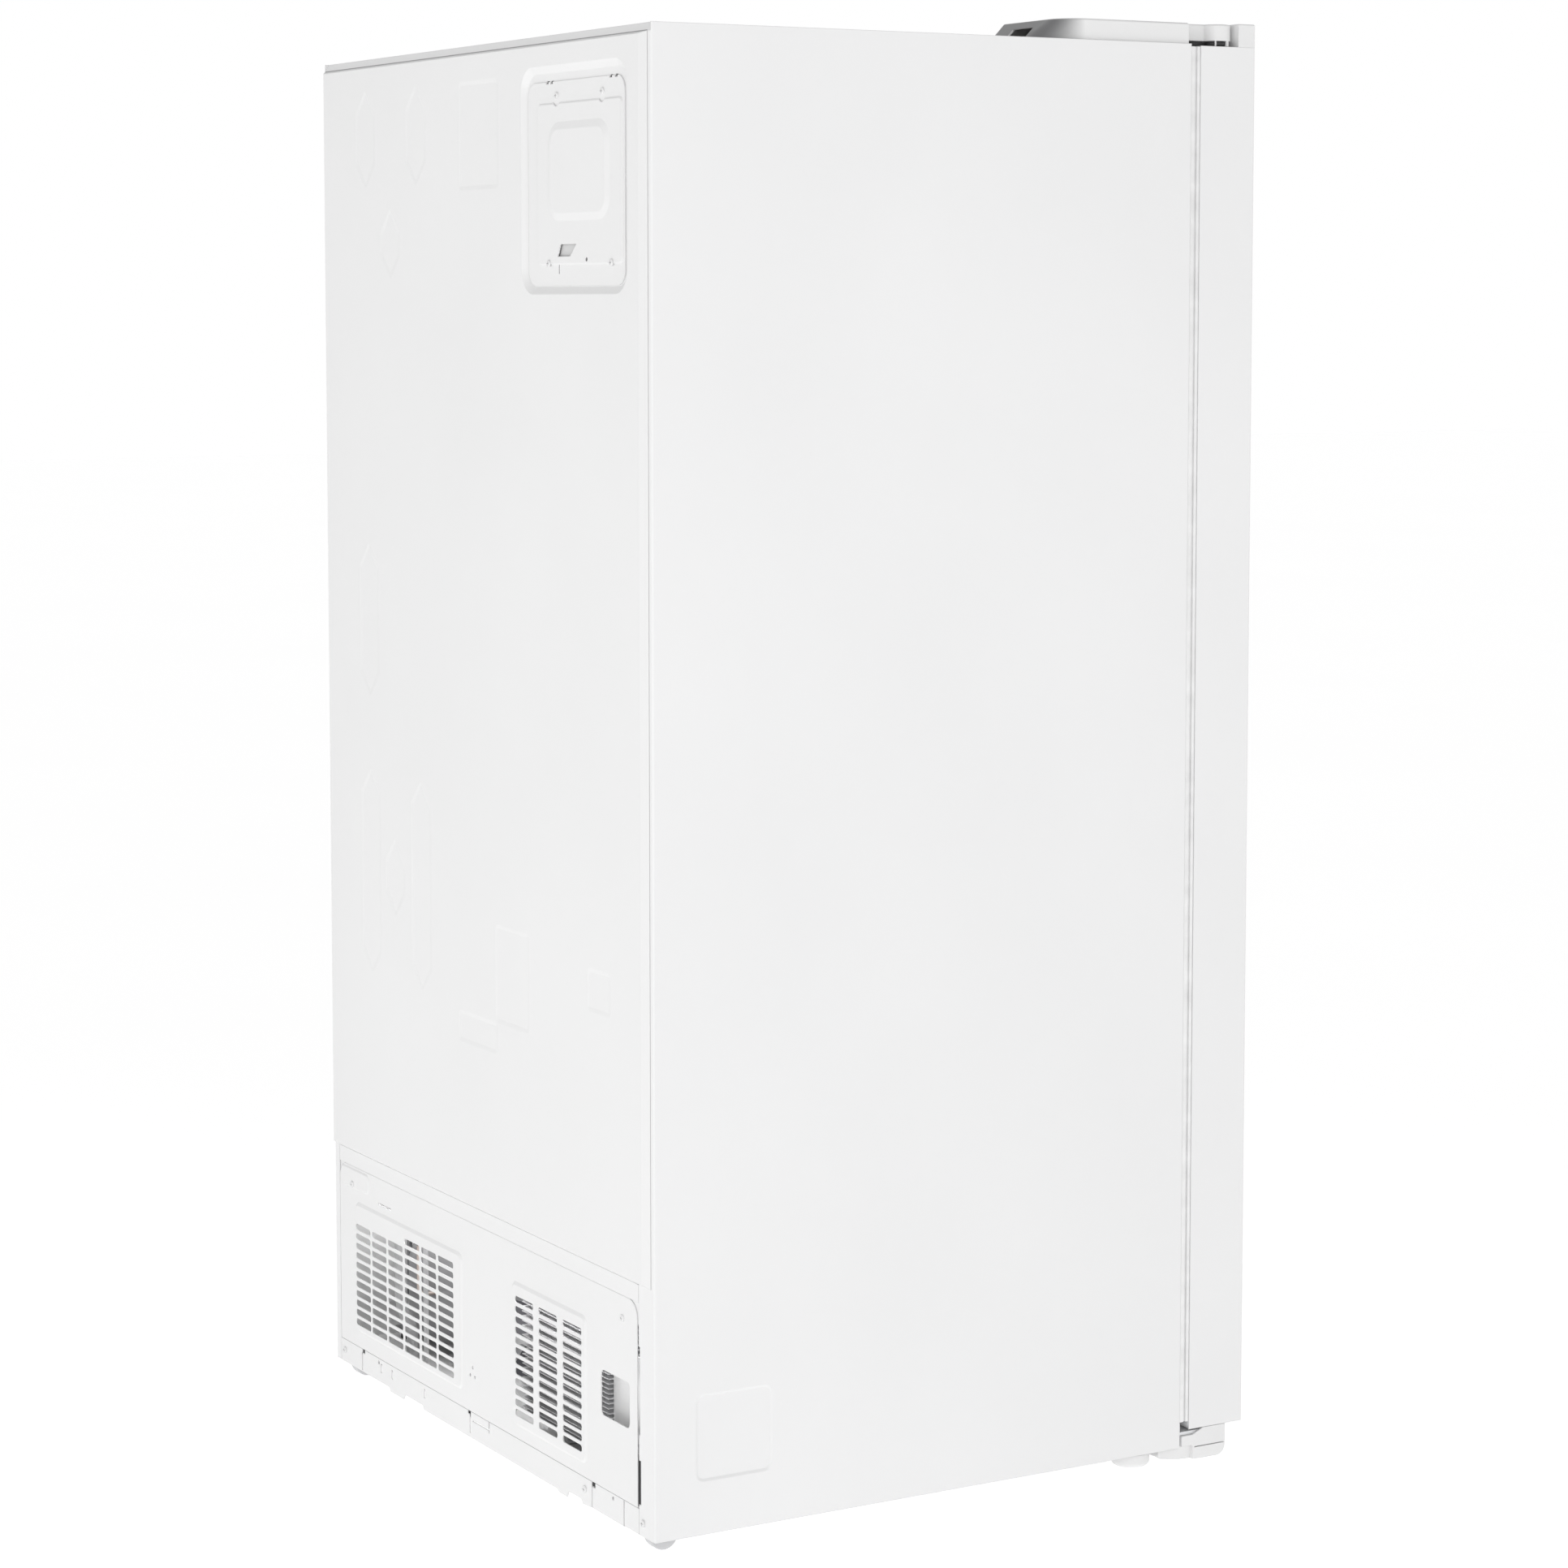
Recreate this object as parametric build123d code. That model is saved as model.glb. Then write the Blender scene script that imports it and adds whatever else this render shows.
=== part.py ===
from build123d import *
import os

# Side-by-side refrigerator-freezer, 36 inch class.
# Millimetres. +X is to the right seen from the front, -Y is the front, +Z is up, Z = 0 is the floor.
# The origin is under the middle of the overall box.

# ---------------------------------------------------------------- driving dimensions
HALF = 456.0              # half of the overall width
CASE_FRONT = -317.5       # front face of the case
CASE_REAR = 422.5         # rear flanges of the case
PANEL_PROUD = 3.0         # rear panel stands this far behind the flanges
CASE_BOTTOM = 19.0
CASE_TOP = 1752.0
SHEET = 1.2               # steel sheet
PLASTIC = 2.0             # vacuum-formed liner
CLEAR = 0.5               # gap between sliding or soft neighbours

DOOR_BACK = -331.5
DOOR_EDGE = -413.5        # front edge of a door's side face
DOOR_BOW = 12.0           # the door front bows out this far in its middle
DOOR_BOTTOM = 41.0
DOOR_TOP = 1750.0
LIP_TOP = 1778.0          # raised front lip of the door's top cap
LIP_DEPTH = 26.0
SPLIT_X = -64.0           # middle of the gap between the doors
SPLIT_GAP = 5.0
PIVOT_X = 434.0           # door pivots, left and right of the middle
PIVOT_Y = -367.5
PIN_R = 6.0
RUNNING = 0.05            # radial clearance of a pin or shaft in its bore

FREEZER_X = (-401.0, -91.0)     # clear inner width of the freezer compartment
FRIDGE_X = (-36.0, 406.0)       # clear inner width of the fresh-food compartment
INNER_Z = (95.0, 1690.0)
INNER_BACK = 357.0
STEP_Y = 90.0                   # the compartments step up behind this plane
STEP_Z = 350.0                  # height of that step, over the machine compartment

DECK_Y = 130.0                  # front wall of the machine compartment
DECK_Z = 300.0                  # roof of the machine compartment
COVER_X = (-414.0, 440.0)       # machine-compartment cover
COVER_Z = (50.0, 292.0)
BASE_Z = 40.0                   # underside of the base plate
FLANGE = (-418.0, 441.0)        # inner edges of the left and right rear flanges of the case
PANEL_X = (-449.0, 455.5)       # rear panel
PANEL_Z = (314.0, 1742.5)
PANEL_FLAT_X = (-431.0, 453.0)  # flat inside the rear panel's bevelled edges
PANEL_FLAT_Z = (317.0, 1740.0)

POCKET_X = (-405.0, -134.0)     # control-box recess in the rear panel
POCKET_Z = (1450.0, 1716.0)
POCKET_DEPTH = 6.0
POCKET_SLOPE = 9.0
CONTROL_X = (-391.0, -145.0)    # control-box cover
CONTROL_Z = (1460.0, 1697.5)
CONTROL_SCREWS = ((-221.0, 1681.0, 0.0), (-337.0, 1681.0, 0.0),     # x, z, height of the seat
                  (-202.0, 1486.0, 1.6), (-361.0, 1486.0, 1.6))
COVER_SCREWS = ((397.0, 268.0), (-377.0, 265.0))
RAIL_SCREWS = ((-280.0, 35.6), (-428.0, 35.0), (428.0, 35.0))
CONTROL_HOOKS = (-196.0, -207.0, -357.0, -370.0)
SCREW_HOLE_R = 2.1

SHELF_FRONT = -200.0
DRAWER_FRONT = -204.0
DRAWER_WALL = 2.5
FREEZER_DRAWER_X = (-378.0, -95.0)      # the drawers stay clear of the open doors' hinge sides
CRISPER_X = (-32.0, 378.0)
BIN_BACK = -223.5               # inner face of the door bins
DIKE_BACK = -259.5              # inner face of the door liner's raised rim
FREEZER_SHELVES = (1385.0, 1130.0, 880.0, 640.0)
FRIDGE_SHELVES = (620.0, 860.0, 1110.0, 1370.0)
HANDLE_Z = (820.0, 1180.0)      # pocket handles
HANDLE_FLOOR = -390.0
FAN_Y = 300.0                   # condenser fan axis
FAN_Z = 142.0
COMPRESSOR = (320.0, 285.0)     # compressor's middle, x and y
DISCHARGE = (340.0, 262.0)      # y, z of the discharge line where it passes the fan's wall
DRIER = (372.0, 258.0)          # y, z of the filter drier

REAR_ROLLER = (421.0, 396.0, 18.0)      # x from the middle, y, radius
FOOT = (427.0, -263.0)                  # levelling foot centre: x from the middle, y


# ---------------------------------------------------------------- helpers
def block(x, y, z):
    """Box between the given (low, high) pairs."""
    size = (x[1] - x[0], y[1] - y[0], z[1] - z[0])
    return Pos((x[0] + x[1]) / 2, (y[0] + y[1]) / 2, (z[0] + z[1]) / 2) * Box(*size)


def rod(axis, radius, reach, a, b):
    """Cylinder along an axis over a (low, high) reach; a and b are the two other coordinates."""
    centre = (reach[0] + reach[1]) / 2
    length = reach[1] - reach[0]
    if axis == "x":
        return Pos(centre, a, b) * Rot(0, 90, 0) * Cylinder(radius, length)
    if axis == "y":
        return Pos(a, centre, b) * Rot(90, 0, 0) * Cylinder(radius, length)
    return Pos(a, b, centre) * Cylinder(radius, length)


def prism(points, direction, amount):
    """Straight extrusion of a closed outline of 3-D points."""
    return extrude(make_face(Polyline(*points, close=True)), amount=amount, dir=direction)


def join(shapes):
    """Fuse a list of shapes into one."""
    shapes = list(shapes)
    return shapes[0].fuse(*shapes[1:]) if len(shapes) > 1 else shapes[0]


def back_plane(x, y, z):
    """Plane facing backwards, with local y up."""
    return Plane(origin=(x, y, z), x_dir=(-1, 0, 0), z_dir=(0, 1, 0))


def front_plane(x, y, z):
    """Plane facing forwards, with local y up."""
    return Plane(origin=(x, y, z), x_dir=(1, 0, 0), z_dir=(0, -1, 0))


def frustum(plane, width, height, radius, slope, depth):
    """Rounded rectangle that narrows by slope on each side over its depth."""
    low = plane * RectangleRounded(width, height, radius)
    size = (width - 2 * slope, height - 2 * slope)
    high = plane.offset(depth) * RectangleRounded(*size, max(radius - slope, 1))
    return loft([low, high])


def press(sheet, plane, width, height, radius, slope, depth, thickness=SHEET):
    """Press a field out of a sheet; the plane lies on the face towards which it bulges."""
    outer = frustum(plane, width, height, radius, slope, depth)
    inner = frustum(plane.offset(-thickness), width, height, radius, slope, depth)
    return sheet + outer - inner


def middle(pair):
    return (pair[0] + pair[1]) / 2


def span(pair):
    return pair[1] - pair[0]


def grown(pair, amount):
    return (pair[0] - amount, pair[1] + amount)


def mirrored(shape):
    return mirror(shape, about=Plane.YZ)


def open_box(x, y, z, wall):
    """Box without a lid."""
    return block(x, y, z) - block(grown(x, -wall), grown(y, -wall), (z[0] + wall, z[1] + 1))


def ring_y(x, z, width, y):
    """Rectangular ring around the Y direction."""
    return block(x, y, z) - block(grown(x, -width), grown(y, 1), grown(z, -width))


def screw(x, y, z, head_r=4.5, head_h=2.2, length=7.0):
    """Pan-head screw that enters from behind, with a cross recess; y is the seat of its head."""
    head = rod("y", head_r, (y, y + head_h), x, z)
    head = chamfer(head.edges().group_by(Axis.Y)[-1], 0.6)
    cross = block((x - 2.6, x + 2.6), (y + 0.9, y + 3), (z - 0.5, z + 0.5))
    cross += block((x - 0.5, x + 0.5), (y + 0.9, y + 3), (z - 2.6, z + 2.6))
    return head + rod("y", SCREW_HOLE_R - 0.1, (y - length, y), x, z) - cross


def save(name, *shapes):
    """Write one sub-part as its separate solids."""
    solids = [solid for shape in shapes for solid in shape.solids()]
    whole = solids[0] if len(solids) == 1 else Compound(children=solids)
    export_step(whole, f"parts/{name}.step")
    print(f"{name}: {len(solids)} solid(s)")


# ---------------------------------------------------------------- case
def side_panel(flange):
    """Left side of the steel wrapper; its rear flange ends at x = flange. Low at the back is a deboss."""
    end = flange + 1
    whole = block((-HALF, flange), (CASE_FRONT, CASE_REAR), (CASE_BOTTOM, CASE_TOP))
    corner = whole.edges().filter_by(Axis.Z).sort_by(lambda e: e.center().X - e.center().Y)[0]
    whole = fillet(corner, 2.5)
    height = (CASE_BOTTOM - 1, CASE_TOP + 1)
    inside = block((-HALF + SHEET, end), (CASE_FRONT - 1, CASE_REAR - SHEET), height)
    corner = inside.edges().filter_by(Axis.Z).sort_by(lambda e: e.center().X - e.center().Y)[0]
    panel = whole - fillet(corner, 1.3)
    plane = Plane(origin=(-HALF + SHEET, 317.5, 133.5), x_dir=(0, 1, 0), z_dir=(1, 0, 0))
    panel = press(panel, plane, 102, 103, 11, 3, 1.6)
    panel -= block((-HALF + SHEET, end), (CASE_REAR - 3, CASE_REAR + 1), (PANEL_Z[1], CASE_TOP + 1))
    if flange > -430:
        # notches beside the machine-compartment cover, and the rail's screw
        panel -= block((flange - 4.5, end), (CASE_REAR - 3, CASE_REAR + 1), (55, 107))
        panel -= block((flange - 2.5, end), (CASE_REAR - 3, CASE_REAR + 1), (137, 241))
        panel -= rod("y", SCREW_HOLE_R, (415, 430), -428, 35)
    return panel


def top_panel():
    """Top sheet between the sides, with a bevelled rear edge."""
    outline = [(CASE_FRONT, CASE_TOP), (CASE_REAR - 5, CASE_TOP), (CASE_REAR, PANEL_Z[1]),
               (CASE_REAR - SHEET, PANEL_Z[1]), (CASE_REAR - 5 - SHEET, CASE_TOP - SHEET),
               (CASE_FRONT, CASE_TOP - SHEET)]
    left = -HALF + SHEET
    return prism([(left, y, z) for y, z in outline], (1, 0, 0), 2 * (HALF - SHEET))


def hexagon(x, z, depth):
    """Elongated upright hexagon, as a shallow frustum cut into the panel's outer face."""
    def outline(y, inset):
        half = 30.5 - inset
        low, high = z[0] + inset, z[1] - inset
        right = [(x + half, y, low + 30), (x + half, y, high - 30)]
        left = [(x - half, y, high - 30), (x - half, y, low + 30)]
        return make_face(Polyline((x, y, low), *right, (x, y, high), *left, close=True))
    surface = CASE_REAR + PANEL_PROUD
    return loft([outline(surface, 0), outline(surface - depth, 5)])


def rear_panel():
    """Foamed rear sheet: a shallow tray with bevelled sides, stiffening fields and the control recess."""
    def tray(y_low, y_high, inset):
        low = back_plane(middle(PANEL_X), y_low, middle(PANEL_Z))
        high = back_plane(middle(PANEL_FLAT_X), y_high, middle(PANEL_FLAT_Z))
        return loft([low * Rectangle(span(PANEL_X) - inset, span(PANEL_Z) - inset),
                     high * Rectangle(span(PANEL_FLAT_X) - inset, span(PANEL_FLAT_Z) - inset)])
    surface = CASE_REAR + PANEL_PROUD
    panel = tray(CASE_REAR, surface, 0) - tray(CASE_REAR - SHEET, surface - SHEET, 2 * SHEET)
    panel = press(panel, front_plane(middle(POCKET_X), surface - SHEET, middle(POCKET_Z)),
                  span(POCKET_X), span(POCKET_Z), 30, POCKET_SLOPE, POCKET_DEPTH)
    panel -= block((-385, -150), (410, 430), (1466, 1690))
    for x in CONTROL_HOOKS:
        panel -= block((x - 3, x + 3), (410, 430), (1688, CONTROL_Z[1] + 1))
    for x, z in ((320, (1586, 1712)), (165, (1586, 1712)), (320, (565, 835)), (165, (565, 835)),
                 (320, (930, 1130)), (245, (1470, 1560)), (245, (650, 752))):
        panel -= hexagon(x, z, 0.7)
    fields = ((-17, 1643, 112, 132), (-97, 621, 94, 122), (-327, 640, 60, 52), (0, 540, 112, 40))
    for x, z, width, height in fields:
        panel -= frustum(front_plane(x, surface, z), width, height, 8, 5, 0.7)
    return panel


def front_frame():
    """Painted face of the case around the two compartments, with the centre mullion."""
    height = (CASE_BOTTOM, CASE_TOP - SHEET)
    face = block((-HALF + SHEET, HALF - SHEET), (CASE_FRONT, CASE_FRONT + 2), height)
    for x in (FREEZER_X, FRIDGE_X):
        face -= block(x, (CASE_FRONT - 1, CASE_FRONT + 3), INNER_Z)
    return face


def compartment(x, extra):
    """Space of a compartment, grown by extra, open in front and stepped over the machine compartment."""
    front = CASE_FRONT + 2
    upper = block(grown(x, extra), (front, INNER_BACK + extra), (STEP_Z - extra, INNER_Z[1] + extra))
    lower = block(grown(x, extra), (front, STEP_Y + extra), (INNER_Z[0] - extra, STEP_Z + 1))
    return upper + lower


def liner(x):
    """Vacuum-formed compartment liner."""
    space = block(x, (CASE_FRONT, CASE_FRONT + 3), INNER_Z)
    return compartment(x, PLASTIC) - compartment(x, 0) - space


def cabinet_foam():
    """Insulation between the steel wrapper and the liners."""
    gap = SHEET + 0.1
    whole = block((-HALF + gap, HALF - gap), (CASE_FRONT + 2, CASE_REAR - 8), (52, CASE_TOP - gap))
    whole -= block((-HALF, HALF), (DECK_Y - SHEET - 0.1, CASE_REAR), (0, DECK_Z + SHEET + 0.1))
    for x in (FREEZER_X, FRIDGE_X):
        whole -= compartment(x, PLASTIC)
    return whole - block((-398, -137), (379, CASE_REAR), (1452, 1703))


def compartment_deck():
    """Stepped sheet under the insulation; its rear flange closes the case above the machine cover."""
    front = CASE_FRONT + 2.1
    back = CASE_REAR - SHEET
    low, high = 50.0, DECK_Z + SHEET
    step = DECK_Y - SHEET
    outline = [(front, low), (DECK_Y, low), (DECK_Y, DECK_Z), (back - 0.1, DECK_Z),
               (back - 0.1, high), (step, high), (step, low + SHEET), (front, low + SHEET)]
    half = HALF - SHEET - 1.5
    deck = prism([(-half, y, z) for y, z in outline], (1, 0, 0), 2 * half)
    across = grown(FLANGE, -CLEAR)
    deck += block(across, (back, CASE_REAR), (COVER_Z[1] + CLEAR, PANEL_Z[0] - CLEAR))
    deck += block(across, (back - 2, back + 0.5), (DECK_Z - 4, DECK_Z + 4))
    # a strip and two corner tabs back the joints around the cover
    behind = (back - SHEET - 0.1, back - 0.1)
    deck += block(across, behind, (COVER_Z[1] - 10, PANEL_Z[0] + 4))
    for x in (across[0] + 14, across[1] - 14):
        deck += block((x - 14, x + 14), behind, (COVER_Z[1] - 26, COVER_Z[1]))
    for x, z in COVER_SCREWS:
        deck += block((x - 18, x + 18), behind, (z - 16, DECK_Z + 1))
        deck -= rod("y", SCREW_HOLE_R, (400, 430), x, z)
    return deck


def base_frame():
    """Base plate of the machine compartment, its slotted rear rail, side rails, roller ears and axles."""
    left, right = grown(FLANGE, -CLEAR)
    top = COVER_Z[0] - CLEAR
    plate = block((-451, 451), (DECK_Y + 2, CASE_REAR - SHEET), (BASE_Z, BASE_Z + 2))
    low_edge = [(left, top), (right, top), (right, 19), (285, 19), (281, 14), (239, 14), (235, 21),
                (180, 21), (176, 16), (-206, 16), (-212, 13), (-233, 13), (-237, 21), (-270, 21),
                (-274, 16), (-300, 18), (-380, 18), (-384, 19), (left, 19)]
    rail = prism([(x, CASE_REAR - SHEET, z) for x, z in low_edge], (0, 1, 0), SHEET)
    slots = ((372, 33, 3.0, 24), (310, 38, 4, 12), (275.5, 38, 4, 12), (174, 38, 4, 12),
             (37, 38.5, 3.4, 33), (40, 48, 7, 5), (-17.5, 44, 2.5, 18), (6, 39, 47, 1.6),
             (-303, 47, 8, 7), (-298.5, 34, 2.4, 30), (-380, 34, 2.4, 30), (367, 47, 8, 5))
    for x, z, width, height in slots:
        rail -= block((x - width / 2, x + width / 2), (415, 430), (z - height / 2, z + height / 2))
    for x in (318, -352.5):
        rail -= rod("y", 2.5, (415, 430), x, 44)
    for x, z in RAIL_SCREWS:
        rail -= rod("y", SCREW_HOLE_R, (415, 430), x, z)
    frame = plate + rail
    for side in (-1, 1):
        rail_x = sorted((side * 438.0, side * 451.0))
        frame += block(rail_x, (CASE_FRONT + 3, DECK_Y + 4), (24, 49.5))
        frame += block(rail_x, (DECK_Y, 418), (24, BASE_Z + 1))
        roller_x, roller_y, radius = REAR_ROLLER
        for ear in (-11.5, 11.5):
            x = side * roller_x + ear
            frame += block((x - 1, x + 1), (roller_y - 9, roller_y + 9), (12, BASE_Z + 1))
        frame += rod("x", 3.0, (side * roller_x - 12, side * roller_x + 12), roller_y, radius)
        foot_x, foot_y = side * FOOT[0], FOOT[1]
        nut = block((foot_x - 16, foot_x + 16), (foot_y - 16, foot_y + 16), (26, 49.5))
        frame += nut
        frame -= rod("z", 5.0 + RUNNING, (0, 49), foot_x, foot_y)
    return frame


def vent_slots(columns, rows, pitch_z, bottom, width):
    """Louvre slots as one cutting body; rows holds each column's number of slots."""
    cutters = []
    for x, count in zip(columns, rows):
        for row in range(count):
            spot = back_plane(x, CASE_REAR - 6, bottom + row * pitch_z)
            cutters.append(extrude(spot * RectangleRounded(width, 8.4, 3.4), amount=12))
    return cutters


def machine_cover():
    """Cover of the machine compartment: two raised louvre fields and the valve window."""
    plane = back_plane(middle(COVER_X), CASE_REAR - SHEET, middle(COVER_Z))
    cover = extrude(plane * Rectangle(span(COVER_X), span(COVER_Z)), amount=SHEET)
    corners = cover.edges().filter_by(Axis.Y).group_by(Axis.Z)[-1]
    cover = fillet(corners, 20)
    cover = press(cover, back_plane(222.5, CASE_REAR, 159), 333, 176, 12, 4, 2)
    cover = press(cover, back_plane(-186, CASE_REAR, 156), 202, 180, 12, 4, 2)
    cover = press(cover, back_plane(390, CASE_REAR, 276), 90, 27, 8, 2, 1.4)
    left_columns = [361 - 51.4 * i for i in range(6)]
    right_columns = [-122 - 64.5 * i for i in range(3)]
    slots = vent_slots(left_columns, (11, 11, 11, 12, 12, 12), 12.83, 85, 47.2)
    slots += vent_slots(right_columns, (12, 12, 12), 12.85, 83.5, 50)
    cover = cover.cut(*slots)
    cover -= extrude(back_plane(-359, CASE_REAR - 6, 164.75) * RectangleRounded(72, 54.5, 7), amount=12)
    cover -= block((275, 315), (415, 430), (257, 259.5))
    for x, z in ((29, 107.5), (36, 96.5), (22.5, 96.5)):
        cover -= rod("y", 2.0, (415, 430), x, z)
    for x, z in COVER_SCREWS:
        cover -= rod("y", SCREW_HOLE_R, (400, 430), x, z)
    return cover


def rear_screws():
    """Pan-head screws of the machine cover, the rail and the control-box cover."""
    boss = 1.4      # the left cover screw sits on a pressed boss
    screws = [screw(x, CASE_REAR + (boss if x > 0 else 0), z, head_h=1.6) for x, z in COVER_SCREWS]
    screws += [screw(x, CASE_REAR, z) for x, z in RAIL_SCREWS]
    seat = CASE_REAR + PANEL_PROUD - POCKET_DEPTH + 1.5
    for x, z, rise in CONTROL_SCREWS:
        screws.append(screw(x, seat + rise, z, head_r=4.0, length=5.0))
    return screws


def control_box():
    """Plastic housing set into the foam behind the recess, open to the rear."""
    x, z = (-396.0, -139.0), (1454.0, 1701.0)
    y = (381.0, 418.0)
    box = block(x, y, z) - block(grown(x, -2), (y[0] + 2, y[1] + 1), grown(z, -2))
    box += block((-280, -216), (392, 413), (z[0] + 1, 1514))       # cable duct behind the window
    for px, pz, _ in CONTROL_SCREWS:
        post = rod("y", 5, (y[0] + 1, y[1]), px, pz)
        box += post
        box -= rod("y", SCREW_HOLE_R, (408, 420), px, pz)
    return box


def control_board():
    """Circuit board with its relays, transformer, capacitors and connectors."""
    board = block((-385, -150), (388.0, 389.6), (1500, 1668))
    components = ((-350, 1630, 30, 26, 16), (-350, 1590, 30, 26, 16), (-300, 1620, 42, 38, 21),
                  (-190, 1640, 44, 12, 10), (-190, 1610, 44, 12, 10), (-250, 1545, 24, 24, 6),
                  (-330, 1530, 60, 10, 9), (-180, 1530, 36, 10, 9))
    for x, z, width, height, tall in components:
        across = (x - width / 2, x + width / 2)
        board += block(across, (389, 389.6 + tall), (z - height / 2, z + height / 2))
    for i in range(3):
        board += rod("y", 7, (389, 408), -235 + 18 * i, 1585)
    return board


def control_cover():
    """Cover of the control box: raised panel with a soft boss, hook notches and a cable window."""
    seat = CASE_REAR + PANEL_PROUD - POCKET_DEPTH
    thick = 1.5
    plane = back_plane(middle(CONTROL_X), seat, middle(CONTROL_Z))
    cover = extrude(plane * RectangleRounded(span(CONTROL_X), span(CONTROL_Z), 18), amount=thick)
    field = back_plane(-279, seat + thick, 1578.5)
    cover = press(cover, field, 216, 189, 8, 2, 1.6, thick)
    for x, z, _ in CONTROL_SCREWS[:2]:
        cover -= rod("y", 8.5, (seat + thick, seat + thick + 4), x, z - 4)
        cover += rod("y", 9.5, (seat, seat + thick), x, z - 4)
    cover = press(cover, back_plane(-278.5, seat + thick + 1.6, 1592.5), 157, 115, 28, 9, 2.4, thick)
    window = [(-224, 1494), (-256, 1494), (-272, 1508), (-231, 1508)]
    cover -= prism([(x, seat - 3, z) for x, z in window], (0, 1, 0), 12)
    cover -= rod("y", 2.4, (seat - 5, seat + 9), -297.5, 1490)
    cover -= block((-226, -224), (seat - 5, seat + 9), (1474, 1484))
    for x in CONTROL_HOOKS:
        cover -= block((x - 3, x + 3), (seat - 5, seat + 9), (CONTROL_Z[1] - 2.4, CONTROL_Z[1] + 1))
    for x, z, _ in CONTROL_SCREWS:
        cover -= rod("y", SCREW_HOLE_R, (seat - 5, seat + 9), x, z)
    return cover


# ---------------------------------------------------------------- machine compartment
def compressor():
    """Hermetic compressor: shell with a weld flange, mounting feet, tube stubs and terminal box."""
    (x, y), floor = COMPRESSOR, BASE_Z + 16
    shell = Pos(x, y, floor + 78) * Cylinder(84, 150)
    shell = fillet(shell.edges().filter_by(GeomType.CIRCLE), 46)
    body = shell + Pos(x, y, floor + 84) * Cylinder(88, 6)
    feet = block((x - 112, x + 112), (y - 62, y + 62), (floor - 2, floor + 1.5))
    feet -= block((x - 60, x + 60), (y - 63, y - 40), (floor - 3, floor + 2))
    feet -= block((x - 60, x + 60), (y + 40, y + 63), (floor - 3, floor + 2))
    for dx in (-98, 98):
        for dy in (-48, 48):
            feet -= rod("z", 6, (floor - 3, floor + 3), x + dx, y + dy)
    body += feet + block((x - 40, x + 40), (y - 40, y + 40), (floor, floor + 20))
    body += block((x - 122, x - 80), (y - 28, y + 28), (floor + 50, floor + 116))
    for dx, dy in ((45, 78), (64, 62)):
        body += rod("z", 4, (floor + 60, floor + 150), x + dx, y + dy)
        body += rod("y", 4, (y + 20, y + dy), x + dx, floor + 64)
    return body


def compressor_grommets():
    """Rubber mounts under the compressor's feet."""
    mounts = []
    for x in (COMPRESSOR[0] - 98, COMPRESSOR[0] + 98):
        for y in (COMPRESSOR[1] - 48, COMPRESSOR[1] + 48):
            outer = rod("z", 11, (BASE_Z + 2, BASE_Z + 14), x, y)
            outer += rod("z", 5.8, (BASE_Z + 13, BASE_Z + 22), x, y)
            mounts.append(outer - rod("z", 3, (BASE_Z, BASE_Z + 23), x, y))
    return mounts


def condenser():
    """Finned tube condenser between the fan and the side of the case, behind the right louvre field."""
    x, y, z = (-283.0, -50.0), (330.0, 392.0), (62.0, 244.0)
    pieces = [block(x, (y[0], y[0] + 2), z)]
    level = z[0] + 6
    while level < z[1] - 5:
        pieces.append(block(x, (y[0] + 1, y[1]), (level, level + 0.8)))
        level += 6.0
    for column in range(4):
        for depth in (16, 46):
            pieces.append(rod("z", 4, z, x[0] + 27 + column * 60, y[0] + depth))
    return join(pieces)


def fan_shroud():
    """Wall with the fan's round opening, and the motor held behind it on three struts."""
    wall = block((36, 39), (DECK_Y + 4, CASE_REAR - 4), (BASE_Z + 2.2, DECK_Z - 2))
    wall -= rod("x", 82, (30, 45), FAN_Y, FAN_Z)
    for y, z in (DISCHARGE, DRIER):
        wall -= rod("x", 5, (30, 45), y, z)
    ring = rod("x", 86, (38, 52), FAN_Y, FAN_Z) - rod("x", 82, (30, 60), FAN_Y, FAN_Z)
    motor = rod("x", 26, (54, 92), FAN_Y, FAN_Z) + rod("x", 3, (20, 56), FAN_Y, FAN_Z)
    whole = wall + ring + motor
    for turn in (90, 210, 330):
        strut = Pos(56.5, FAN_Y, FAN_Z) * Rot(turn, 0, 0) * Pos(0, 0, 54) * Box(5, 7, 64)
        whole += strut - rod("x", 20, (40, 60), FAN_Y, FAN_Z)
    whole += block((38, 60), (FAN_Y - 86, FAN_Y - 84), (FAN_Z - 3, FAN_Z + 3))
    return whole


def fan(x0, radius, hub_r, hub_h, bore_r, blades, pitch):
    """Axial fan on the X axis through the origin, from x0."""
    wheel = rod("x", hub_r, (x0, x0 + hub_h), 0, 0)
    blade = Rot(0, 0, pitch) * Box(2.0, radius * 0.62, radius - hub_r + 2)
    blade = Pos(x0 + hub_h / 2, 0, (hub_r + radius) / 2 - 2) * blade
    for index in range(blades):
        wheel += Rot(360 / blades * index, 0, 0) * blade
    limit = rod("x", radius, (x0 - 30, x0 + hub_h + 30), 0, 0)
    return (wheel & limit) - rod("x", bore_r, (x0 - 1, x0 + hub_h + 1), 0, 0)


def drain_pan():
    """Defrost water tray on the base plate, in front of the condenser."""
    return open_box((-395, -70), (150, 322), (BASE_Z + 2.2, BASE_Z + 34), 2)


def tube_path(points, bend, radius):
    """Round tube along straight runs with tangent bends."""
    path = FilletPolyline(*points, radius=bend)
    start = Plane(origin=path @ 0, z_dir=path % 0)
    return sweep(start * Circle(radius), path=path)


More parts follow.
